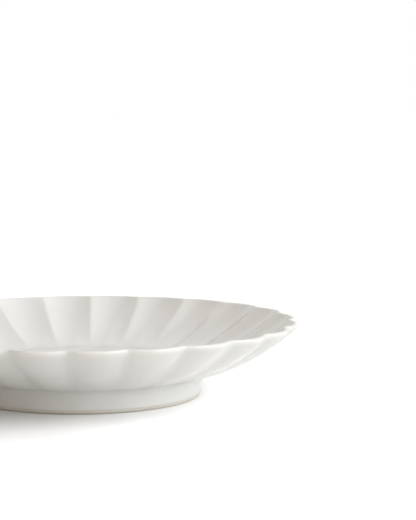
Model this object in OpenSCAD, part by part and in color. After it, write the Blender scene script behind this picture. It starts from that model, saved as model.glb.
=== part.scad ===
// Scalloped dessert plate: a pressed porcelain dish of hollow petals, luted to a turned foot ring
// and glazed all over but for the tread that it stands on. +Z is up, the origin is on the table
// under the middle of the plate, and the petals' middles lie on X and Y.

/* [Plate] */
// Diameter over the lips of opposite petals, glaze included
plate_d = 160; // [150:1:176]
// Height of the lip above the table, glaze included
plate_h = 28; // [25:0.5:32]
// Diameter of the flat well, where the petals begin
well_d = 90; // [82:1:100]

/* [Petals] */
// Number of petals round the plate
petal_n = 24; // [16:4:32]
// Depth of a petal's hollow at the lip, square to the wall
petal_depth = 1.9; // [1:0.05:3]
// How far the lip dips in the middle of a petal
petal_dip = 0.2; // [0:0.1:0.6]

/* [Wall] */
// Thickness of the porcelain at the well
wall_w = 2.1; // [1.6:0.1:3]
// Thickness of the porcelain at the lip
lip_w = 1.4; // [1:0.1:2]
// Slope of the wall at the lip, in degrees
lip_angle = 44; // [36:1:56]
// How far the wall runs out flat from the well before it turns up
root_run = 6; // [3:0.5:10]
// How far below the lip the wall holds the lip's slope
lip_run = 9; // [4:0.5:14]

/* [Foot ring] */
// Height of the ring
foot_h = 8.8; // [6:0.2:12]
// Thickness of the ring where it meets the dish
foot_w = 4.6; // [4.2:0.1:7]
// How far the ring's outside draws in towards the table
foot_taper = 0.5; // [0:0.1:0.8]
// How far the ring's inside draws out towards the table
foot_inner_taper = 0.6; // [0:0.1:0.9]
// Radius of the ring's outer bottom edge
foot_edge_r = 1.2; // [0.6:0.1:1.5]
// Radius of the ring's inner bottom edge
foot_inner_edge_r = 0.8; // [0.4:0.1:1]
// Flat land left outside the seam, before the petals begin
foot_land = 0.2; // [0.1:0.05:2]

/* [Seam] */
// Thickness of the slip between the ring and the dish
slip_t = 0.3; // [0.2:0.05:0.6]
// Radius of the fillets of slip in both corners
slip_r = 0.7; // [0.5:0.1:1.2]

/* [Glaze] */
// Thickness of the glaze
glaze_t = 0.25; // [0.15:0.05:0.35]
// Bare strip wiped clean above the ring's rounded bottom edges
wipe_h = 0.3; // [0:0.1:1]

/* [Hidden] */

// Sides that draw one petal's arch, and all the petals
petal_sides = 6;
sides = petal_n * petal_sides;
// Rows of faces up the wall, over the lip and round a fillet
wall_rows = 5;
lip_rows = 4;
fillet_rows = 2;
// Sides of a turned circle, and steps of a turned bottom edge
turned_sides = 180;
edge_steps = 6;

// Height of the dish's flat underside, and the middle of its wall there
seat_z = foot_h + slip_t;
root = [well_d / 2, seat_z + wall_w / 2];
// Lip's rounded edge in the notch between two petals, over the glaze
lip_half = lip_w / 2 + glaze_t;
// How far a petal's lip slides up its slope to stay level, and how far it then stands out
lip_slide = (petal_depth * cos(lip_angle) - petal_dip) / sin(lip_angle);
lip_bulge = petal_depth * sin(lip_angle) + lip_slide * cos(lip_angle);
// Middle of the wall at the lip, in a notch
lip = [plate_d / 2 - lip_half - lip_bulge, plate_h - lip_half];
lip_way = [cos(lip_angle), sin(lip_angle)];
root_pull = root + [root_run, 0];
lip_pull = lip - lip_run * lip_way;

// Foot ring's outside and inside radius at the dish, and the heights where its sides change
foot_r = well_d / 2 - foot_land - slip_r;
foot_in = foot_r - foot_w;
fillet_z = seat_z - slip_r;
wipe_z = foot_edge_r + wipe_h;
inner_wipe_z = foot_inner_edge_r + wipe_h;

// Wall's middle line in a notch: a curve from the well's edge to the lip, s from 0 to 1
function wall_mid(s) =
    root * pow(1 - s, 3) + root_pull * 3 * s * pow(1 - s, 2) + lip_pull * 3 * s * s * (1 - s) + lip * pow(s, 3);
function wall_way(s) =
    let (way = (root_pull - root) * pow(1 - s, 2) + (lip_pull - root_pull) * 2 * s * (1 - s) + (lip - lip_pull) * s * s)
    way / norm(way);

// Share of the way out from the well to the notch
function reach_share(s) = (wall_mid(s).x - root.x) / (lip.x - root.x);

// A petal's arch: 0 in the notches at t = 0 and t = 1, and 1 in its middle
function arch(t) = 4 * t * (1 - t);

// Half the porcelain's thickness, from the well to the lip
function half_wall(s) = (wall_w + (lip_w - wall_w) * pow(reach_share(s), 3)) / 2;

// A point [radius, height] of the wall, off its middle surface by off, downwards and outwards
function wall_point(s, t, off) =
    let (
        way = wall_way(s),
        under = [way.y, -way.x],
        u = reach_share(s),
        sink = petal_depth * u * (2 - u) * arch(t)
    )
    wall_mid(s) + under * (off + sink) + way * lip_slide * pow(u, 3) * arch(t);

// A point of the half-round lip, turn from 0 on the face to 180 on the back
function lip_point(turn, t, coat) =
    let (
        way = wall_way(1),
        under = [way.y, -way.x]
    )
    wall_point(1, t, 0) + (way * sin(turn) - under * cos(turn)) * (half_wall(1) + coat);

// Where corner i lies along its petal, and its place in space
function along(i) = (i / petal_sides + 1 / 2) % 1;
function placed(p, i) = [p.x * cos(360 * i / sides), p.x * sin(360 * i / sides), p.y];

// Rows of corners over the dish, from the well over the lip to the underside, under a coat of glaze
function dish_rows(coat) = [
    for (k = [0 : wall_rows])
        let (s = k / wall_rows)
        [for (i = [0 : sides - 1]) placed(wall_point(s, along(i), -half_wall(s) - coat), i)],
    for (k = [1 : lip_rows - 1])
        [for (i = [0 : sides - 1]) placed(lip_point(180 * k / lip_rows, along(i), coat), i)],
    for (k = [wall_rows : -1 : 0])
        let (s = k / wall_rows)
        [for (i = [0 : sides - 1]) placed(wall_point(s, along(i), half_wall(s) + coat), i)]
];

// A round row whose flats, and not its corners, touch the circle
function round_row(p) = [for (i = [0 : sides - 1]) placed([p.x / cos(180 / sides), p.y], i)];

// An arc of points from one angle to another
function arc(centre, r, from, to, steps) =
    [for (k = [0 : steps]) let (a = from + (to - from) * k / steps) centre + r * [cos(a), sin(a)]];

// Outline of the outer and the inner fillet of slip, under a coat of glaze, from the dish to the ring
function outer_fillet(coat) = arc([foot_r + slip_r, fillet_z], slip_r - coat, 90, 180, fillet_rows);
function inner_fillet(coat) = arc([foot_in - slip_r, fillet_z], slip_r - coat, 90, 0, fillet_rows);

// Ring's outside and inside radius at height z, below the fillets
function foot_out_at(z) = foot_r - foot_taper * (fillet_z - z) / (fillet_z - foot_edge_r);
function foot_in_at(z) = foot_in + foot_inner_taper * (fillet_z - z) / (fillet_z - foot_inner_edge_r);

// Rows round the outside of the seam and the ring, down to the bare strip, under a coat of glaze
function foot_rows(coat) = [
    for (p = outer_fillet(coat)) round_row(p),
    round_row([foot_out_at(wipe_z) + coat, wipe_z])
];

function reversed(list) = [for (k = [len(list) - 1 : -1 : 0]) list[k]];

// Two faces between row k and the next at corner i, cut along the diagonal that lean picks
function two_faces(k, i, lean) =
    let (
        a = k * sides + i,
        b = k * sides + (i + 1) % sides,
        c = a + sides,
        d = b + sides
    )
    lean ? [[a, b, c], [b, d, c]] : [[a, b, d], [a, d, c]];

// A closed solid over rows of corners; rows from lean_from on lean the other way, so that two
// solids that share a surface share its faces
module skin(rows, lean_from) {
    last = len(rows) - 1;
    polyhedron(
        points = [for (row = rows) each row],
        faces = [
            [for (i = [sides - 1 : -1 : 0]) i],
            for (k = [0 : last - 1]) for (i = [0 : sides - 1]) each two_faces(k, i, k >= lean_from),
            [for (i = [0 : sides - 1]) last * sides + i]
        ]
    );
}

// Porcelain dish: flat well and wall of petals, with a half-round lip
module dish() {
    rows = dish_rows(0);
    color([0.93, 0.92, 0.89]) skin(rows, len(rows));
}

// Turned porcelain ring that the dish stands on
module foot_ring() {
    outer_edge = [foot_r - foot_taper - foot_edge_r, foot_edge_r];
    inner_edge = [foot_in + foot_inner_taper + foot_inner_edge_r, foot_inner_edge_r];
    color([0.9, 0.88, 0.83])
    rotate_extrude($fn = turned_sides)
    polygon(concat(
        [[foot_in, foot_h], [foot_in, fillet_z]],
        arc(inner_edge, foot_inner_edge_r, 180, 270, edge_steps),
        arc(outer_edge, foot_edge_r, 270, 360, edge_steps),
        [[foot_r, fillet_z], [foot_r, foot_h]]
    ));
}

// Slip that sticks the ring to the dish, smoothed to a fillet on both sides
module slip_seam() {
    color([0.86, 0.84, 0.79])
    rotate_extrude($fn = turned_sides)
    polygon(concat(
        outer_fillet(0),
        [[foot_r, foot_h], [foot_in, foot_h]],
        reversed(inner_fillet(0))
    ));
}

// Glaze over the well, the petals, the lip, the back and the outside of the ring
module glaze_coat() {
    over = concat(dish_rows(glaze_t), foot_rows(glaze_t));
    under = concat(dish_rows(0), foot_rows(0));
    color([0.97, 0.97, 0.95]) skin(concat(over, reversed(under)), len(over));
}

// Glaze inside the ring: the pool under the well and the ring's inside, cut off by the bare tread
module base_glaze() {
    wiped = foot_in_at(inner_wipe_z);
    color([0.95, 0.95, 0.93])
    rotate_extrude($fn = turned_sides)
    polygon(concat(
        [[0, seat_z]],
        inner_fillet(0),
        [[wiped, inner_wipe_z], [wiped - glaze_t, inner_wipe_z]],
        reversed(inner_fillet(glaze_t)),
        [[0, seat_z - glaze_t]]
    ));
}

dish();
foot_ring();
slip_seam();
glaze_coat();
base_glaze();
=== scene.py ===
"""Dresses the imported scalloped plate: smooth petals under a warm glaze, a bare tread and a soft studio."""

import math

import bpy
from mathutils import Euler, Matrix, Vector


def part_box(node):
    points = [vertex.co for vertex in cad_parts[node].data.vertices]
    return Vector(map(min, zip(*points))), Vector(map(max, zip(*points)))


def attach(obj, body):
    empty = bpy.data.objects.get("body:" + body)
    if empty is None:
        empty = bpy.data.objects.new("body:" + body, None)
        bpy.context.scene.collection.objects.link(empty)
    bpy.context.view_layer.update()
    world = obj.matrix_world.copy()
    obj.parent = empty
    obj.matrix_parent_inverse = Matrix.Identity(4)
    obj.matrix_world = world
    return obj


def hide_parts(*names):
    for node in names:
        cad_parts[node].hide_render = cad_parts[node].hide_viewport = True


bl_info = {
    "name": "Scalloped plate",
    "version": (1, 0, 0),
    "blender": (4, 5, 0),
    "location": "3D View > Sidebar > Plate",
    "description": "Builds a scalloped porcelain plate on its foot ring, with its glaze and a soft studio",
    "category": "Add Mesh",
}

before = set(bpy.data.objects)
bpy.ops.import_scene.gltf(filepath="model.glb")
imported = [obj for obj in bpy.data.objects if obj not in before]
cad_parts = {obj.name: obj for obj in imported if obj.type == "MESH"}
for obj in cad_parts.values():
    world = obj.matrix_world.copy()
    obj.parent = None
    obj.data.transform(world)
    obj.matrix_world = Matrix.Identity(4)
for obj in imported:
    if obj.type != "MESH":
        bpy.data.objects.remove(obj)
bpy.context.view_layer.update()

MM = 0.001
# Corners nearer than this are one corner
WELD = 0.001 * MM
BODY = "root"

# Kinds of socket, and what every skin puts out
NUMBER = "NodeSocketFloat"
COLOUR = "NodeSocketColor"
SKIN = {"Colour": COLOUR, "Roughness": NUMBER, "Height": NUMBER}

WHITE = (1.0, 1.0, 1.0, 1.0)
# The floor's colour, the greyer colour of what it throws back at the plate, and how far it reaches
PAPER = (0.9, 0.9, 0.9, 1.0)
PAPER_BOUNCE = (0.68, 0.68, 0.67, 1.0)
FLOOR = 6.0
# Height in millimetres of the frame that the lens is given for
FILM = 36

# How closely thin glaze with its painted highlight keeps to a ridge, and pooled glaze to a groove
RIDGE_POWER = 6
GROOVE_POWER = 4
# How much glass bends light
IOR = 1.5
# The stretch of soft noise over which a surface changes
NOISE_LOW, NOISE_HIGH = 0.3, 0.7
# Glaze: the light that the cloudiest keeps, the roughness from clear to cloudy, and what peel adds to it
CLOUD_SHADE = 0.965
GLAZE_ROUGH = (0.17, 0.235)
PEEL_ROUGH = 0.03
# Heights of the glaze's waves, of its peel and of the turning marks under it
WAVE_RISE = 0.030 * MM
PEEL_RISE = 0.0022 * MM
MARK_RISE = 0.003 * MM
# Pinholes: the share that is missing, the flat share of the radius, the depth, the shade, the roughness
PINHOLE_MISSING = 0.55
PINHOLE_FLAT = 0.3
PINHOLE_SINK = 0.05 * MM
PINHOLE_SHADE = 0.35
PINHOLE_ROUGH = 0.3
# Bare clay: where along its noise grain is dark and pale, and the light that the darkest grain keeps
GRAIN_DARK, GRAIN_PALE = 0.25, 0.75
GRAIN_SHADE = 0.90
# Its roughness, and the heights of its grain and of its turning marks
CLAY_ROUGH = (0.62, 0.82)
GRAIN_RISE = 0.020 * MM
TURNED_RISE = 0.006 * MM
# Wear: the width of a patch in grains, how much grain breaks it up, where it sets in, and how it smooths
SOIL_GRAINS = 18
SOIL_GRAIN = 0.25
SOIL_LOW, SOIL_HIGH = 0.45, 0.8
SOIL_SMOOTH = 0.12

DISH_LOW, DISH_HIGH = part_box("dish")
_, RING_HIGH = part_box("foot_ring")
SEAM_LOW, SEAM_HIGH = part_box("slip_seam")
COAT_LOW, COAT_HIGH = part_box("glaze_coat")
POOL_LOW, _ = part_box("base_glaze")


def length(name, default, description):
    """A size in metres."""
    return bpy.props.FloatProperty(
        name=name,
        description=description,
        default=default,
        min=0,
        precision=5,
        subtype="DISTANCE",
        unit="LENGTH",
    )


def angle(name, default, description):
    """An angle that is given here in degrees."""
    return bpy.props.FloatProperty(
        name=name,
        description=description,
        default=math.radians(default),
        subtype="ANGLE",
        unit="ROTATION",
    )


def count(name, default, description):
    """A whole number of like things."""
    return bpy.props.IntProperty(name=name, description=description, default=default, min=0)


def amount(name, default, description):
    """A number without a unit."""
    return bpy.props.FloatProperty(name=name, description=description, default=default, min=0)


def colour(name, default, description):
    """The colour of a finish."""
    return bpy.props.FloatVectorProperty(
        name=name,
        description=description,
        default=default,
        size=3,
        min=0,
        max=1,
        subtype="COLOR",
    )


class PlateSizes(bpy.types.PropertyGroup):
    """Sizes of the plate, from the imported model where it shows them, and of the faces that draw it."""

    plate_d: length("Plate diameter", 2 * COAT_HIGH.x, "Over the lips of opposite petals, glaze included")
    plate_h: length("Plate height", COAT_HIGH.z, "Height of the lip above the table, glaze included")
    well_d: length("Well diameter", 90 * MM, "Flat well, where the petals begin")
    petal_n: count("Petals", 24, "Number of petals round the plate")
    petal_depth: length("Petal depth", 1.9 * MM, "Depth of a petal's hollow at the lip, square to the wall")
    petal_dip: length("Petal dip", 0.2 * MM, "How far the lip dips in the middle of a petal")
    uneven: amount("Uneven petals", 0.06, "How much shallower the shallowest petal may be, as a share")
    seed: count("Seed", 7, "Picks which petals are shallower")
    petal_drift: angle("Petal drift", 1.0, "How far petals drift forwards at the back, backwards in front")
    ridge_round: amount("Ridge rounding", 0.085, "Rounding of a ridge, as a share of half a petal")
    groove_pool: length("Groove pool", 0.25 * MM, "How much glaze has run into the grooves on the back")
    wall_w: length("Wall at the well", 2.1 * MM, "Thickness of the porcelain at the well")
    lip_w: length("Wall at the lip", 1.4 * MM, "Thickness of the porcelain at the lip")
    lip_roll: length("Lip roll", 1.25 * MM, "How far down the wall's back the rounding of the lip begins")
    lip_angle: angle("Lip slope", 44, "Slope of the wall at the lip")
    root_run: length("Root run", 6 * MM, "How far the wall runs out flat from the well")
    lip_run: length("Lip run", 9 * MM, "How far below the lip the wall holds the lip's slope")
    seat_z: length("Seat height", DISH_LOW.z, "Height of the dish's flat underside")
    foot_h: length("Foot height", RING_HIGH.z, "Height of the foot ring")
    foot_d: length("Foot diameter", 2 * RING_HIGH.x, "Foot ring's outside where it meets the dish")
    foot_w: length("Foot width", 4.6 * MM, "Thickness of the foot ring where it meets the dish")
    foot_taper: length("Foot taper", 0.5 * MM, "How far the ring's outside draws in below")
    foot_inner_taper: length("Foot inner taper", 0.6 * MM, "How far the ring's inside draws out below")
    foot_edge_r: length("Foot edge", 1.2 * MM, "Rounding of the ring's outer bottom edge")
    foot_inner_edge_r: length("Foot inner edge", 0.8 * MM, "Rounding of the ring's inner bottom edge")
    slip_r: length("Slip fillet", SEAM_HIGH.z - SEAM_LOW.z, "Radius of the fillets of slip in both corners")
    glaze_t: length("Glaze thickness", COAT_HIGH.z - DISH_HIGH.z, "Thickness of the glaze")
    wipe_z: length("Outer wipe height", COAT_LOW.z, "Height to which the ring's outside is bare")
    inner_wipe_z: length("Inner wipe height", POOL_LOW.z, "Height to which the ring's inside is bare")
    petal_sides: count("Sides of a petal", 16, "Faces across one petal")
    turned_sides: count("Turned sides", 192, "Faces round a turned piece")
    floor_rows: count("Floor rows", 3, "Rows of faces over the well")
    wall_rows: count("Wall rows", 28, "Rows of faces up the wall")
    lip_rows: count("Lip rows", 6, "Rows of faces over the lip's inner edge")
    roll_rows: count("Roll rows", 9, "Rows of faces down the lip's rounded back")
    side_rows: count("Side rows", 3, "Rows of faces down a straight side")
    arc_rows: count("Arc rows", 6, "Rows of faces round a fillet or an edge")


class PlateFinishes(bpy.types.PropertyGroup):
    """Colours of the plate's finishes, and the sizes of their grain."""

    glaze: colour("Glaze", (0.80, 0.79, 0.765), "Glaze of an even thickness")
    # Paler glaze over the lip and the ridges: glaze drawn thin there, and a painted highlight
    glaze_thin_and_highlight: colour("Thin glaze", (0.83, 0.81, 0.77), "Glaze drawn thin over the lip and the ridges")
    glaze_deep: colour("Deep glaze", (0.76, 0.765, 0.745), "Glaze pooled in the grooves and corners")
    biscuit: colour("Bare porcelain", (0.76, 0.725, 0.655), "Fired porcelain without glaze")
    soiled: colour("Worn porcelain", (0.62, 0.56, 0.47), "Bare porcelain where it has stood and worn")
    slip: colour("Slip", (0.73, 0.70, 0.64), "Slip that has dried in the seam")
    ring_soil: amount("Worn tread", 0.25, "How much of the ring's bare porcelain is worn, as a share")
    slip_soil: amount("Worn slip", 0.2, "How much of the slip is worn, as a share")
    mottle: length("Mottle", 14 * MM, "Size of the cloudy patches in the glaze")
    wave: length("Waviness", 11 * MM, "Size of the soft waves of the glazed surface")
    peel: length("Peel", 1.6 * MM, "Size of the fine unevenness of the glaze")
    grain: length("Grain", 0.35 * MM, "Size of the grain of bare porcelain")
    ring_gap: length("Turning marks", 0.9 * MM, "Distance from one turning mark to the next")
    pinhole_gap: length("Pinholes", 9 * MM, "Distance from one pinhole under the plate to the next")
    pinhole_r: length("Pinhole radius", 0.16 * MM, "Radius of a pinhole")


class Studio(bpy.types.PropertyGroup):
    """The camera, the lamps and the floor."""

    camera_far: length("Camera distance", 0.6734, "Level distance from the plate's axis to the camera")
    camera_high: length("Camera height", 0.1156, "Height of the camera above the table")
    camera_round: angle("Camera direction", -4.2, "Where the camera stands, round from the front")
    camera_aside: angle("Camera turn", 3.95, "How far the camera looks to the right of the plate's axis")
    camera_down: angle("Camera tilt", 5.54, "How far the camera looks down")
    camera_roll: angle("Camera roll", -0.1, "How far the camera leans to its left")
    lens: amount("Lens", 125.34, "Focal length in millimetres for a frame 36 high")
    fill: amount("Fill", 0.15, "Strength of the even light from all round")
    fill_colour: colour("Fill colour", (1.0, 0.82, 0.66), "Colour of the even light from all round")
    main: amount("Main lamp", 0.76, "Strength of the lamp above the plate's front right")
    main_round: angle("Main lamp direction", 56, "Where the main lamp hangs, round from the front")
    main_high: angle("Main lamp height", 35, "How high the main lamp hangs")
    low: amount("Low lamp", 0.235, "Strength of the lamp under the main lamp")
    low_round: angle("Low lamp direction", 42, "Where the low lamp hangs, round from the front")
    low_high: angle("Low lamp height", 12, "How high the low lamp hangs")
    back: amount("Back lamp", 0.14, "Strength of the faint lamp behind the plate")
    back_round: angle("Back lamp direction", 209, "Where the back lamp hangs, round from the front")
    back_high: angle("Back lamp height", 35, "How high the back lamp hangs")
    left: amount("Left lamp", 0.162, "Strength of the faint lamp at the plate's left")
    left_round: angle("Left lamp direction", 312, "Where the left lamp hangs, round from the front")
    left_high: angle("Left lamp height", 22, "How high the left lamp hangs")
    lamp_wide: angle("Lamp width", 50, "How wide each lamp looks from the plate")
    lamp_colour: colour("Lamp colour", (0.935, 0.97, 1.0), "Colour of the main lamp and the low lamp")
    left_colour: colour("Left lamp colour", (1.0, 0.94, 0.85), "Colour of the left lamp")
    paper: amount("Paper lamp", 1.2, "Strength of the lamp that lights only the floor")
    paper_round: angle("Paper lamp direction", 97, "Where the floor's lamp hangs, round from the front")
    paper_high: angle("Paper lamp height", 23, "How high the floor's lamp hangs")
    paper_wide: angle("Paper lamp width", 50, "How wide the floor's lamp looks from the plate")


class Wire:
    """What one socket puts out, so that formulas in a node tree read as plain sums."""

    def __init__(self, graph, socket):
        self.graph = graph
        self.socket = socket

    def __add__(self, other):
        return self.graph.sum("ADD", self, other)

    def __radd__(self, other):
        return self.graph.sum("ADD", other, self)

    def __sub__(self, other):
        return self.graph.sum("SUBTRACT", self, other)

    def __rsub__(self, other):
        return self.graph.sum("SUBTRACT", other, self)

    def __mul__(self, other):
        return self.graph.sum("MULTIPLY", self, other)

    def __rmul__(self, other):
        return self.graph.sum("MULTIPLY", other, self)

    def __truediv__(self, other):
        return self.graph.sum("DIVIDE", self, other)

    def __rtruediv__(self, other):
        return self.graph.sum("DIVIDE", other, self)

    def __pow__(self, other):
        return self.graph.sum("POWER", self, other)

    def __neg__(self):
        return self.graph.sum("MULTIPLY", self, -1)


def is_vector(value):
    """Whether a value is a wire that carries three numbers."""
    return isinstance(value, Wire) and value.socket.type == "VECTOR"


class Graph:
    """Adds nodes to a tree. Each input is a wire or a plain value."""

    def __init__(self, tree):
        self.tree = tree

    def feed(self, socket, value):
        """Links a wire to a socket, or sets the socket to a plain value."""
        if isinstance(value, Wire):
            self.tree.links.new(value.socket, socket)
        else:
            socket.default_value = value

    def add(self, kind, feeds, **settings):
        """A new node, with feeds by the name or the number of each input."""
        made = self.tree.nodes.new(kind)
        for name, value in settings.items():
            setattr(made, name, value)
        for key, value in feeds.items():
            self.feed(made.inputs[key], value)
        return made

    def wire(self, kind, feeds, output=0, **settings):
        """What a new node puts out."""
        return Wire(self, self.add(kind, feeds, **settings).outputs[output])

    def sum(self, operation, a, b):
        """A sum of two numbers, or of vectors where either is one."""
        if is_vector(a) and is_vector(b):
            return self.wire("ShaderNodeVectorMath", {0: a, 1: b}, operation=operation)
        if is_vector(a) or is_vector(b):
            vector, number = (a, b) if is_vector(a) else (b, a)
            return self.wire("ShaderNodeVectorMath", {0: vector, "Scale": number}, operation="SCALE")
        return self.wire("ShaderNodeMath", {0: a, 1: b}, operation=operation)

    def math(self, operation, *values):
        """A function of numbers, such as SINE, SQRT or MAXIMUM."""
        return self.wire("ShaderNodeMath", dict(enumerate(values)), operation=operation)

    def vector(self, operation, *values, output=0):
        """A function of vectors, such as NORMALIZE or CROSS_PRODUCT."""
        return self.wire("ShaderNodeVectorMath", dict(enumerate(values)), output, operation=operation)

    def point(self, x, y, z):
        """A vector of three numbers."""
        return self.wire("ShaderNodeCombineXYZ", {"X": x, "Y": y, "Z": z})

    def part(self, vector, axis):
        """One of a vector's three numbers."""
        return self.wire("ShaderNodeSeparateXYZ", {0: vector}, axis)

    def between(self, a, b, along):
        """A point between two others."""
        # The sockets of a Mix node share their names, so they go by number
        return self.wire("ShaderNodeMix", {0: along, 4: a, 5: b}, 1, data_type="VECTOR")

    def blend(self, a, b, factor, kind="MIX"):
        """Two colours mixed."""
        return self.wire("ShaderNodeMix", {0: factor, 6: a, 7: b}, 2, data_type="RGBA", blend_type=kind)

    def ramp(self, value, low, high, start=0.0, end=1.0):
        """A number that goes from start to end while value goes from low to high, and holds there."""
        feeds = {"Value": value, "From Min": low, "From Max": high, "To Min": start, "To Max": end}
        return self.wire("ShaderNodeMapRange", feeds)

    def noise(self, where, size, detail, rough=0.5):
        """Soft noise from 0 to 1, of patches of a size in metres."""
        feeds = {"Vector": where, "Scale": 1 / size, "Detail": detail, "Roughness": rough}
        return self.wire("ShaderNodeTexNoise", feeds)


class SizeInputs:
    """The sizes of a tree. Each becomes a named input of it when a formula first asks for it."""

    SOCKETS = {"INT": "NodeSocketInt", "FLOAT": "NodeSocketFloat"}

    def __init__(self, graph, sizes):
        self.graph = graph
        self.sizes = sizes
        self.entry = graph.tree.nodes.new("NodeGroupInput")
        self.values = {}

    def __getattr__(self, name):
        known = self.sizes.bl_rna.properties[name]
        if known.name not in self.values:
            sockets = self.graph.tree.interface
            made = sockets.new_socket(known.name, in_out="INPUT", socket_type=self.SOCKETS[known.type])
            made.description = known.description
            self.values[known.name] = (made.identifier, getattr(self.sizes, name))
        return Wire(self.graph, self.entry.outputs[known.name])


class Outline:
    """An outline that is drawn leg by leg, in radius and height. The piece lies on the right of its way."""

    def __init__(self, graph, row, radius, height):
        self.graph = graph
        self.row = row
        self.rows = 0
        self.spot = graph.point(radius, 0, height)
        self.marks = {}

    def leg(self, rows):
        """A share that goes from 0 to 1 over the next rows, and stays 1."""
        first = self.rows
        self.rows = rows + first
        return self.graph.ramp(self.row, first, self.rows)

    def move(self, step):
        """Moves what follows by a vector that grows with a leg's share."""
        self.spot = self.spot + step

    def line(self, radius, height, rows):
        """Goes straight on by so much out and so much up."""
        self.move(self.graph.point(radius, 0, height) * self.leg(rows))

    def arc(self, radius, start, end, rows):
        """Goes round an arc from one angle to another, in degrees, where 0 is outwards and 90 is up."""
        share = self.leg(rows)
        turn = share * math.radians(end - start) + math.radians(start)
        out = self.graph.math("COSINE", turn) - math.cos(math.radians(start))
        up = self.graph.math("SINE", turn) - math.sin(math.radians(start))
        self.move(self.graph.point(out, 0, up) * radius)
        return share


def swell(share):
    """Rises from 0 to 1 and falls back to 0 while a share goes from 0 to 1."""
    return 4 * share * (1 - share)


def curve(g, points, along):
    """A point of the curve that its ends and the pulls between them give, and the curve's way there."""
    while len(points) > 2:
        points = [g.between(a, b, along) for a, b in zip(points, points[1:])]
    return g.between(*points, along), g.vector("NORMALIZE", points[1] - points[0])


class Petals:
    """Where the corners of a row lie round the plate, and how deep each lies in its petal."""

    def __init__(self, g, size, around):
        petals = around * size.petal_n
        number = g.math("FLOOR", petals)
        # Corners crowd together towards the ridges
        along = (1 - g.math("COSINE", g.math("FRACT", petals) * math.pi)) / 2
        turn = (number + along - 0.5) * math.tau / size.petal_n
        self.turn = turn + size.petal_drift * g.math("SINE", turn)
        self.from_ridge = 1 - g.math("ABSOLUTE", along * 2 - 1)
        soft = size.ridge_round
        # A curve that keeps near two straight lines rounds the sharp ridge between them
        rise = g.math("SQRT", self.from_ridge**2 + soft**2) - soft
        rise = rise / (g.math("SQRT", soft**2 + 1) - soft)
        shallow = g.wire("FunctionNodeRandomValue", {"ID": number, "Seed": size.seed}, 1, data_type="FLOAT")
        self.arch = rise * (2 - rise) * (1 - size.uneven * shallow)


def draw_petals(outline, size, petals, coat, pool):
    """Draws the wall's face, the rounded lip, and the wall's back with the glaze pooled in its grooves."""
    g = outline.graph
    up = outline.leg(size.wall_rows)
    edge = outline.leg(size.lip_rows)
    roll = outline.leg(size.roll_rows)
    down = outline.leg(size.wall_rows)
    turn = (edge + roll) * math.pi / 2
    # The curve runs at three times its lip run there
    rolled = size.lip_roll / (3 * size.lip_run)
    along = up - rolled * (1 - g.math("COSINE", roll * math.pi / 2)) - down * (1 - rolled)
    lip_way = g.point(g.math("COSINE", size.lip_angle), 0, g.math("SINE", size.lip_angle))
    slide = (size.petal_depth * g.part(lip_way, "X") - size.petal_dip) / g.part(lip_way, "Z")
    bulge = size.petal_depth * g.part(lip_way, "Z") + slide * g.part(lip_way, "X")
    lip_half = size.lip_w / 2 + size.glaze_t
    # Half the rounded lip's width, level, from its middle to its outermost point
    roll_out = g.part(lip_way, "X") * (lip_half + size.lip_roll)
    lip_out = g.math("SQRT", roll_out**2 + (g.part(lip_way, "Z") * lip_half) ** 2)
    lip_out = lip_out - g.part(lip_way, "X") * size.lip_roll
    root_r = size.well_d / 2
    lip_r = size.plate_d / 2 - lip_out - bulge
    root = g.point(root_r, 0, size.seat_z + size.wall_w / 2)
    lip = g.point(lip_r, 0, size.plate_h - lip_half)
    pulls = [root + g.point(size.root_run, 0, 0), lip - lip_way * size.lip_run]
    middle, way = curve(g, [root, *pulls, lip], along)
    under = g.vector("CROSS_PRODUCT", (0, 1, 0), way)
    reach = (g.part(middle, "X") - root_r) / (lip_r - root_r)
    half = (size.wall_w + (size.lip_w - size.wall_w) * reach**3) / 2 + coat
    back = turn / math.pi
    depth = size.petal_depth * reach * (2 - reach)
    # Glaze in the grooves leaves the middle of a petal where it was
    filled = (pool * back) ** 2
    sink = g.math("SQRT", (depth * petals.arch) ** 2 + filled) * depth / g.math("SQRT", depth**2 + filled)
    over_lip = g.math("SINE", turn)
    outward = (way * over_lip - under * g.math("COSINE", turn)) * half
    face_start = g.point(root_r, 0, size.seat_z + size.wall_w + coat)
    outline.move(middle + under * sink + way * (slide * reach**3 * petals.arch) + outward - face_start)
    ridge = (1 - petals.from_ridge) * reach
    # Over the lip and the ridges of the face the glaze is paler: thin glaze, and a painted highlight
    outline.marks["thin_and_highlight"] = g.math("MAXIMUM", over_lip, ridge**RIDGE_POWER * (1 - back))
    outline.marks["deep"] = ridge**GROOVE_POWER * back


def draw_dish(g, size, row, petals):
    """Porcelain dish: flat well, wall of petals with a half-round lip, and flat underside."""
    outline = Outline(g, row, 0, size.seat_z + size.wall_w)
    outline.line(size.well_d / 2, 0, size.floor_rows)
    draw_petals(outline, size, petals, 0, 0)
    outline.line(size.well_d / -2, 0, size.floor_rows)
    return outline


def draw_coat(g, size, row, petals, coat, pool, bead):
    """One side of the glaze, over the well, the petals, the lip and the back, down to the bare strip."""
    outline = Outline(g, row, 0, size.seat_z + size.wall_w + coat)
    outline.line(size.well_d / 2, 0, size.floor_rows)
    draw_petals(outline, size, petals, coat, pool)
    outline.line((size.foot_d - size.well_d) / 2 + size.slip_r, 0, 1)
    corner = outline.arc(size.slip_r - coat, 90, 180, size.arc_rows)
    outline.marks["deep"] = outline.marks["deep"] * (1 - corner) + swell(corner)
    fillet_z = size.seat_z - size.slip_r
    fall = fillet_z - size.wipe_z
    outline.line(size.foot_taper * fall / (size.foot_edge_r - fillet_z), bead - fall, size.side_rows)
    return outline


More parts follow.
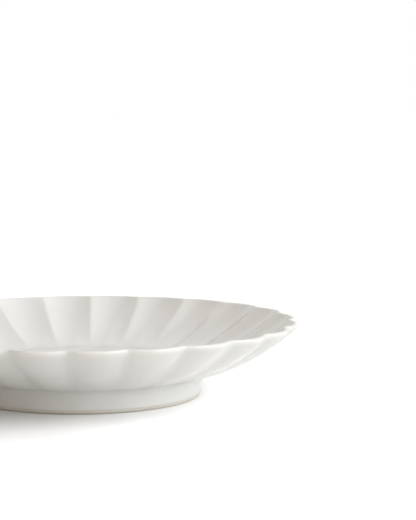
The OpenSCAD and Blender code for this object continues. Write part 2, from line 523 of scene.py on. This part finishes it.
def draw_coat_outside(g, size, row, petals):
    """Outside of the glaze, which ends in a small round bead over the bare strip."""
    outline = draw_coat(g, size, row, petals, size.glaze_t, size.groove_pool, size.glaze_t)
    bead = outline.arc(size.glaze_t, 0, -90, size.arc_rows)
    outline.marks["deep"] = outline.marks["deep"] * (1 - bead)
    outline.marks["thin_and_highlight"] = outline.marks["thin_and_highlight"] + bead
    return outline


def draw_coat_inside(g, size, row, petals):
    """Inside of the glaze, which lies on the porcelain."""
    return draw_coat(g, size, row, petals, 0, 0, 0)


def draw_ring(g, size, row):
    """Foot ring: flat top, sides that draw together below, round edges and a flat tread."""
    fillet_z = size.seat_z - size.slip_r
    step = size.foot_h - fillet_z
    edges = size.foot_edge_r + size.foot_inner_edge_r + size.foot_taper + size.foot_inner_taper
    outline = Outline(g, row, size.foot_d / 2 - size.foot_w, size.foot_h)
    outline.line(size.foot_w, 0, size.side_rows)
    outline.line(0, -step, 1)
    outline.line(-size.foot_taper, size.foot_edge_r - fillet_z, size.side_rows)
    outline.arc(size.foot_edge_r, 0, -90, size.arc_rows)
    outline.line(edges - size.foot_w, 0, size.side_rows)
    outline.arc(size.foot_inner_edge_r, -90, -180, size.arc_rows)
    outline.line(-size.foot_inner_taper, fillet_z - size.foot_inner_edge_r, size.side_rows)
    outline.line(0, step, 1)
    return outline


def draw_seam(g, size, row):
    """Slip between the ring and the dish, with a fillet in both corners."""
    step = size.foot_h - size.seat_z + size.slip_r
    outline = Outline(g, row, size.foot_d / 2 - size.foot_w - size.slip_r, size.seat_z)
    outline.line(size.foot_w + 2 * size.slip_r, 0, size.side_rows)
    outline.arc(size.slip_r, 90, 180, size.arc_rows)
    outline.line(0, step, 1)
    outline.line(-size.foot_w, 0, size.side_rows)
    outline.line(0, -step, 1)
    outline.arc(size.slip_r, 0, 90, size.arc_rows)
    return outline


def draw_pool(g, size, row):
    """Glaze inside the ring: the pool under the well and the ring's inside, down to the bare strip."""
    fillet_z = size.seat_z - size.slip_r
    fall = fillet_z - size.inner_wipe_z
    out = size.foot_inner_taper * fall / (fillet_z - size.foot_inner_edge_r)
    floor = size.foot_d / 2 - size.foot_w - size.slip_r
    outline = Outline(g, row, 0, size.seat_z)
    outline.line(floor, 0, size.floor_rows)
    outline.arc(size.slip_r, 90, 0, size.arc_rows)
    outline.line(out, -fall, size.side_rows)
    bead = outline.arc(size.glaze_t, -90, -180, size.arc_rows)
    outline.line(-out, fall - size.glaze_t, size.side_rows)
    corner = outline.arc(size.slip_r - size.glaze_t, 0, 90, size.arc_rows)
    outline.line(-floor, 0, size.floor_rows)
    outline.marks["thin_and_highlight"] = swell(bead)
    outline.marks["deep"] = swell(corner)
    return outline


def corners(g, sides):
    """The row of each corner of a sheet, and how far round the plate it lies, from 0 to 1."""
    index = g.wire("GeometryNodeInputIndex", {})
    # Half a corner more keeps a rounded number from falling into the row before
    row = g.math("FLOOR", (index + 0.5) / (sides + 1))
    return row, (index - row * (sides + 1)) / sides


def sheet(g, sides, outline, turn):
    """Faces along an outline, turned round the plate's axis."""
    feeds = {"Vertices X": outline.rows + 1, "Vertices Y": sides + 1}
    mesh = g.wire("GeometryNodeMeshGrid", feeds)
    radius, height = g.part(outline.spot, "X"), g.part(outline.spot, "Z")
    spot = g.point(radius * g.math("COSINE", turn), radius * g.math("SINE", turn), height)
    for name, value in outline.marks.items():
        feeds = {"Geometry": mesh, "Name": name, "Value": value}
        mesh = g.wire("GeometryNodeStoreNamedAttribute", feeds, data_type="FLOAT", domain="POINT")
    return g.wire("GeometryNodeSetPosition", {"Geometry": mesh, "Position": spot})


def petal_sheet(g, size, draw):
    """A sheet that follows the petals."""
    sides = size.petal_n * size.petal_sides
    row, around = corners(g, sides)
    petals = Petals(g, size, around)
    return sheet(g, sides, draw(g, size, row, petals), petals.turn)


def turned_sheet(g, size, draw):
    """A sheet that is round."""
    row, around = corners(g, size.turned_sides)
    return sheet(g, size.turned_sides, draw(g, size, row), around * math.tau)


def coat_sheets(g, size):
    """Both sides of the glaze, the inner one turned to face the porcelain."""
    outside = petal_sheet(g, size, draw_coat_outside)
    inside = g.wire("GeometryNodeFlipFaces", {"Mesh": petal_sheet(g, size, draw_coat_inside)})
    joined = g.add("GeometryNodeJoinGeometry", {})
    for side in (inside, outside):
        g.tree.links.new(side.socket, joined.inputs["Geometry"])
    return Wire(g, joined.outputs[0])


def grow(context, name, material, make, *draw):
    """A plain mesh object, grown from the plate's named sizes, along an outline where one is given."""
    tree = bpy.data.node_groups.new(name, "GeometryNodeTree")
    tree.interface.new_socket("Geometry", in_out="OUTPUT", socket_type="NodeSocketGeometry")
    g = Graph(tree)
    size = SizeInputs(g, context.scene.plate_sizes)
    slot = tree.interface.new_socket("Finish", in_out="INPUT", socket_type="NodeSocketMaterial")
    mesh = make(g, size, *draw)
    mesh = g.wire("GeometryNodeMergeByDistance", {"Geometry": mesh, "Distance": WELD})
    mesh = g.wire("GeometryNodeSetShadeSmooth", {"Geometry": mesh, "Shade Smooth": True})
    mesh = g.wire("GeometryNodeRealizeInstances", {"Geometry": mesh})
    finish_wire = Wire(g, size.entry.outputs["Finish"])
    mesh = g.wire("GeometryNodeSetMaterial", {"Geometry": mesh, "Material": finish_wire})
    g.add("NodeGroupOutput", {0: mesh})

    piece = bpy.data.objects.new(name, bpy.data.meshes.new(name))
    context.scene.collection.objects.link(piece)
    growth = piece.modifiers.new("Growth", "NODES")
    growth.node_group = tree
    growth[slot.identifier] = material
    for identifier, value in size.values.values():
        growth[identifier] = value
    depsgraph = context.evaluated_depsgraph_get()
    grown = bpy.data.meshes.new_from_object(
        piece.evaluated_get(depsgraph), preserve_all_data_layers=True, depsgraph=depsgraph
    )
    piece.modifiers.remove(growth)
    piece.data = grown
    grown.name = name
    # The mesh comes with an empty slot before its material's own
    grown.materials.pop(index=0)
    if not grown.polygons:
        raise RuntimeError(f"{name} has no faces")
    return piece


def settle(piece, node):
    """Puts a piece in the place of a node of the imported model."""
    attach(piece, BODY)
    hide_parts(node)


def group(name, inputs, fill):
    """A skin: a shader node group that is made once, with a kind of socket for each named input."""
    if name in bpy.data.node_groups:
        return bpy.data.node_groups[name]
    tree = bpy.data.node_groups.new(name, "ShaderNodeTree")
    for label, kind in inputs.items():
        tree.interface.new_socket(label, in_out="INPUT", socket_type=kind)
    for label, kind in SKIN.items():
        tree.interface.new_socket(label, in_out="OUTPUT", socket_type=kind)
    g = Graph(tree)
    entry = tree.nodes.new("NodeGroupInput")
    results = fill(g, {label: Wire(g, entry.outputs[label]) for label in inputs})
    g.add("NodeGroupOutput", results)
    return tree


def here(g):
    """The point of the piece that is drawn, in metres."""
    return g.wire("ShaderNodeTexCoord", {}, "Object")


def rgba(value):
    """A colour with its alpha, as colour sockets take it."""
    return (*value, 1.0)


def turning_marks(g, where, gap, wander):
    """Rings round the plate's axis, from -1 to 1, that wander a little."""
    flat = g.point(g.part(where, "X"), g.part(where, "Y"), 0)
    radius = g.vector("LENGTH", flat, output="Value")
    return g.math("SINE", (radius / gap + wander) * math.tau)


def glaze_skin():
    """Clouding, waves and fine peel of a glazed surface, and the turning marks and pinholes of the base."""
    inputs = {
        "Even": COLOUR,
        "Thin and highlight": COLOUR,
        "Deep": COLOUR,
        "Thinness and highlight": NUMBER,
        "Depth": NUMBER,
        "Mottle size": NUMBER,
        "Wave size": NUMBER,
        "Peel size": NUMBER,
        "Base": NUMBER,
        "Ring gap": NUMBER,
        "Pinhole gap": NUMBER,
        "Pinhole radius": NUMBER,
    }

    def fill(g, of):
        where = here(g)
        clouds = g.noise(where, of["Mottle size"], detail=3)
        waves = g.noise(where, of["Wave size"], detail=1)
        peel = g.noise(where, of["Peel size"], detail=2)
        # Paler over the lip and the ridges, partly thin glaze and partly a painted highlight
        tone = g.blend(of["Even"], of["Thin and highlight"], of["Thinness and highlight"])
        tone = g.blend(tone, of["Deep"], of["Depth"])
        tone = g.blend(tone, g.ramp(clouds, NOISE_LOW, NOISE_HIGH, CLOUD_SHADE, 1.0), 1.0, "MULTIPLY")
        cell = g.add("ShaderNodeTexVoronoi", {"Vector": where, "Scale": 1 / of["Pinhole gap"]})
        dot = Wire(g, cell.outputs["Distance"]) * of["Pinhole gap"]
        present = g.math("GREATER_THAN", g.part(Wire(g, cell.outputs["Color"]), "X"), PINHOLE_MISSING)
        edge = of["Pinhole radius"]
        pinhole = g.ramp(dot, edge * PINHOLE_FLAT, edge, 1.0, 0.0) * present * of["Base"]
        tone = g.blend(tone, 1 - pinhole * PINHOLE_SHADE, 1.0, "MULTIPLY")
        marks = turning_marks(g, where, of["Ring gap"], clouds) * of["Base"]
        rough = g.ramp(clouds, NOISE_LOW, NOISE_HIGH, *GLAZE_ROUGH)
        rough = rough + peel * PEEL_ROUGH + pinhole * PINHOLE_ROUGH
        height = waves * WAVE_RISE + peel * PEEL_RISE + marks * MARK_RISE - pinhole * PINHOLE_SINK
        return {"Colour": tone, "Roughness": rough, "Height": height}

    return group("Glaze skin", inputs, fill)


def clay_grain():
    """Grain, turning marks and wear of a surface without glaze."""
    inputs = {
        "Clean": COLOUR,
        "Soiled": COLOUR,
        "Soil": NUMBER,
        "Grain size": NUMBER,
        "Ring gap": NUMBER,
    }

    def fill(g, of):
        where = here(g)
        grain = g.noise(where, of["Grain size"], detail=4, rough=0.7)
        patches = g.noise(where, of["Grain size"] * SOIL_GRAINS, detail=3)
        marks = turning_marks(g, where, of["Ring gap"], patches)
        soil = g.ramp(patches + grain * SOIL_GRAIN, SOIL_LOW, SOIL_HIGH) * of["Soil"]
        tone = g.blend(of["Clean"], of["Soiled"], soil)
        shade = g.ramp(grain, GRAIN_DARK, GRAIN_PALE, GRAIN_SHADE, 1.0)
        tone = g.blend(tone, shade, 1.0, "MULTIPLY")
        rough = g.ramp(grain, NOISE_LOW, NOISE_HIGH, *CLAY_ROUGH) - soil * SOIL_SMOOTH
        height = grain * GRAIN_RISE + marks * TURNED_RISE
        return {"Colour": tone, "Roughness": rough, "Height": height}

    return group("Clay grain", inputs, fill)


def finish(name, skin, feeds):
    """A material: a skin of colour, roughness and height under one shader."""
    material = bpy.data.materials.new(name)
    material.use_nodes = True
    g = Graph(material.node_tree)
    g.tree.nodes.clear()
    feeds = {key: value(g) if callable(value) else value for key, value in feeds.items()}
    made = g.add("ShaderNodeGroup", feeds, node_tree=skin)
    tone, rough, height = [Wire(g, made.outputs[label]) for label in SKIN]
    # The heights are real ones, in metres
    bump = g.wire("ShaderNodeBump", {"Distance": 1.0, "Height": height})
    surface = {"Base Color": tone, "Roughness": rough, "Normal": bump, "IOR": IOR}
    g.add("ShaderNodeOutputMaterial", {"Surface": g.wire("ShaderNodeBsdfPrincipled", surface)})
    return material


def mark(name):
    """Reads a share that the piece carries on its corners."""
    return lambda g: g.wire("ShaderNodeAttribute", {}, "Fac", attribute_name=name)


def glaze_finish(context, name, base):
    """Warm white glaze, paler where thin and with a painted highlight over the lip and the ridges, cooler
    where pooled. A base of 1 adds the base's marks.
    """
    look = context.scene.plate_finishes
    feeds = {
        "Even": rgba(look.glaze),
        "Thin and highlight": rgba(look.glaze_thin_and_highlight),
        "Deep": rgba(look.glaze_deep),
        "Thinness and highlight": mark("thin_and_highlight"),
        "Depth": mark("deep"),
        "Mottle size": look.mottle,
        "Wave size": look.wave,
        "Peel size": look.peel,
        "Base": base,
        "Ring gap": look.ring_gap,
        "Pinhole gap": look.pinhole_gap,
        "Pinhole radius": look.pinhole_r,
    }
    return finish(name, glaze_skin(), feeds)


def clay_finish(context, name, clean, soil):
    """Fired clay without glaze, matt and grained."""
    look = context.scene.plate_finishes
    feeds = {
        "Clean": rgba(clean),
        "Soiled": rgba(look.soiled),
        "Soil": soil,
        "Grain size": look.grain,
        "Ring gap": look.ring_gap,
    }
    return finish(name, clay_grain(), feeds)


class PLATE_OT_dish(bpy.types.Operator):
    """Adds the porcelain dish with its well and its wall of petals"""

    bl_idname = "plate.dish"
    bl_label = "Dish"

    def execute(self, context):
        look = context.scene.plate_finishes
        material = clay_finish(context, "fired_porcelain", look.biscuit, soil=0.0)
        piece = grow(context, "petal_dish", material, petal_sheet, draw_dish)
        settle(piece, "dish")
        return {"FINISHED"}


class PLATE_OT_ring(bpy.types.Operator):
    """Adds the turned foot ring with its bare tread"""

    bl_idname = "plate.ring"
    bl_label = "Foot ring"

    def execute(self, context):
        look = context.scene.plate_finishes
        material = clay_finish(context, "ground_porcelain", look.biscuit, look.ring_soil)
        piece = grow(context, "turned_foot_ring", material, turned_sheet, draw_ring)
        settle(piece, "foot_ring")
        return {"FINISHED"}


class PLATE_OT_seam(bpy.types.Operator):
    """Adds the slip that sticks the ring to the dish"""

    bl_idname = "plate.seam"
    bl_label = "Slip seam"

    def execute(self, context):
        look = context.scene.plate_finishes
        material = clay_finish(context, "dried_slip", look.slip, look.slip_soil)
        piece = grow(context, "slip_fillets", material, turned_sheet, draw_seam)
        settle(piece, "slip_seam")
        return {"FINISHED"}


class PLATE_OT_coat(bpy.types.Operator):
    """Adds the glaze over the dish and the outside of the ring"""

    bl_idname = "plate.coat"
    bl_label = "Glaze coat"

    def execute(self, context):
        material = glaze_finish(context, "white_glaze", base=0.0)
        piece = grow(context, "petal_glaze", material, coat_sheets)
        settle(piece, "glaze_coat")
        return {"FINISHED"}


class PLATE_OT_pool(bpy.types.Operator):
    """Adds the glaze inside the ring"""

    bl_idname = "plate.pool"
    bl_label = "Base glaze"

    def execute(self, context):
        material = glaze_finish(context, "pooled_glaze", base=1.0)
        piece = grow(context, "glaze_pool", material, turned_sheet, draw_pool)
        settle(piece, "base_glaze")
        return {"FINISHED"}


def shown_directly(g):
    """1 for what the camera sees, also in a mirror or through glass, and 0 for light on the object."""
    path = g.add("ShaderNodeLightPath", {})
    seen = g.math("MAXIMUM", Wire(g, path.outputs["Is Camera Ray"]), Wire(g, path.outputs["Is Glossy Ray"]))
    return g.math("MAXIMUM", seen, Wire(g, path.outputs["Is Transmission Ray"]))


def lay_floor(context):
    """A wide pale floor, greyer in the light that it throws back at the plate."""
    mesh = bpy.data.meshes.new("floor")
    spread = [(-FLOOR, -FLOOR, 0), (FLOOR, -FLOOR, 0), (FLOOR, FLOOR, 0), (-FLOOR, FLOOR, 0)]
    mesh.from_pydata(spread, [], [(0, 1, 2, 3)])
    floor = bpy.data.objects.new("floor", mesh)
    context.scene.collection.objects.link(floor)
    material = bpy.data.materials.new("floor_paper")
    material.use_nodes = True
    g = Graph(material.node_tree)
    g.tree.nodes.clear()
    tone = g.blend(PAPER_BOUNCE, PAPER, shown_directly(g))
    g.add("ShaderNodeOutputMaterial", {"Surface": g.wire("ShaderNodeBsdfDiffuse", {"Color": tone})})
    mesh.materials.append(material)
    return floor


def light_world(context):
    """Even warm light from all round, which the camera sees as white."""
    studio = context.scene.plate_studio
    world = bpy.data.worlds.new("studio")
    world.use_nodes = True
    g = Graph(world.node_tree)
    g.tree.nodes.clear()
    fill = [share * studio.fill for share in studio.fill_colour]
    light = g.blend(rgba(fill), WHITE, shown_directly(g))
    g.add("ShaderNodeOutputWorld", {"Surface": g.wire("ShaderNodeBackground", {"Color": light})})
    context.scene.world = world


def hang_lamp(context, name, strength, direction, height, width, tint=(1.0, 1.0, 1.0)):
    """A soft lamp, far off. At a strength of 1, white paper that faces it looks white."""
    data = bpy.data.lights.new(name, "SUN")
    data.energy = strength * math.pi
    data.angle = width
    data.color = tint
    lamp = bpy.data.objects.new(name, data)
    lamp.rotation_euler = Euler((math.pi / 2 - height, 0, direction))
    context.scene.collection.objects.link(lamp)
    return lamp


def hang_lamps(context, floor):
    """Four soft lamps on everything, and one that only lights the floor round the plate's shadow."""
    studio = context.scene.plate_studio
    tint = studio.lamp_colour
    wide = studio.lamp_wide
    hang_lamp(context, "main_lamp", studio.main, studio.main_round, studio.main_high, wide, tint)
    hang_lamp(context, "low_lamp", studio.low, studio.low_round, studio.low_high, wide, tint)
    hang_lamp(context, "back_lamp", studio.back, studio.back_round, studio.back_high, wide)
    hang_lamp(
        context, "left_lamp", studio.left, studio.left_round, studio.left_high, wide, studio.left_colour
    )
    paper = hang_lamp(
        context, "paper_lamp", studio.paper, studio.paper_round, studio.paper_high, studio.paper_wide
    )
    lit = bpy.data.collections.new("paper")
    lit.objects.link(floor)
    paper.light_linking.receiver_collection = lit


def set_camera(context):
    """The camera low in front of the plate, which shows its right half."""
    studio = context.scene.plate_studio
    data = bpy.data.cameras.new("camera")
    data.sensor_width = FILM
    data.lens = studio.lens
    camera = bpy.data.objects.new("camera", data)
    out = math.sin(studio.camera_round), -math.cos(studio.camera_round)
    camera.location = (out[0] * studio.camera_far, out[1] * studio.camera_far, studio.camera_high)
    tilt = math.pi / 2 - studio.camera_down
    turn = Euler((tilt, 0, studio.camera_round - studio.camera_aside))
    turn.rotate_axis("Z", studio.camera_roll)
    camera.rotation_euler = turn
    context.scene.collection.objects.link(camera)
    context.scene.camera = camera


class PLATE_OT_stage(bpy.types.Operator):
    """Adds the floor, the soft lamps and the camera"""

    bl_idname = "plate.stage"
    bl_label = "Studio"

    def execute(self, context):
        context.scene.view_settings.view_transform = "Standard"
        light_world(context)
        hang_lamps(context, lay_floor(context))
        set_camera(context)
        return {"FINISHED"}


class PLATE_PT_builder(bpy.types.Panel):
    """Lists the plate's pieces, sizes and finishes"""

    bl_idname = "PLATE_PT_builder"
    bl_label = "Scalloped plate"
    bl_space_type = "VIEW_3D"
    bl_region_type = "UI"
    bl_category = "Plate"

    def draw(self, context):
        for operator in OPERATORS:
            self.layout.operator(operator.bl_idname)
        for known in SETTINGS:
            settings = getattr(context.scene, known)
            box = self.layout.box()
            for name in settings.__annotations__:
                box.prop(settings, name)


OPERATORS = (PLATE_OT_dish, PLATE_OT_ring, PLATE_OT_seam, PLATE_OT_coat, PLATE_OT_pool, PLATE_OT_stage)
SETTINGS = {"plate_sizes": PlateSizes, "plate_finishes": PlateFinishes, "plate_studio": Studio}


def register():
    """Adds the classes, and their settings to the scene."""
    for known in (*SETTINGS.values(), *OPERATORS, PLATE_PT_builder):
        bpy.utils.register_class(known)
    for name, settings in SETTINGS.items():
        setattr(bpy.types.Scene, name, bpy.props.PointerProperty(type=settings))


def unregister():
    """Takes the settings and the classes away again."""
    for name in SETTINGS:
        delattr(bpy.types.Scene, name)
    for known in reversed((*SETTINGS.values(), *OPERATORS, PLATE_PT_builder)):
        bpy.utils.unregister_class(known)


def write_sizes():
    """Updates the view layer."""
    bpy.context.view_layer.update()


def main():
    """Builds every piece and the stage."""
    register()
    bpy.ops.plate.dish()
    bpy.ops.plate.ring()
    bpy.ops.plate.seam()
    bpy.ops.plate.coat()
    bpy.ops.plate.pool()
    bpy.ops.plate.stage()
    write_sizes()


if __name__ == "__main__":
    main()
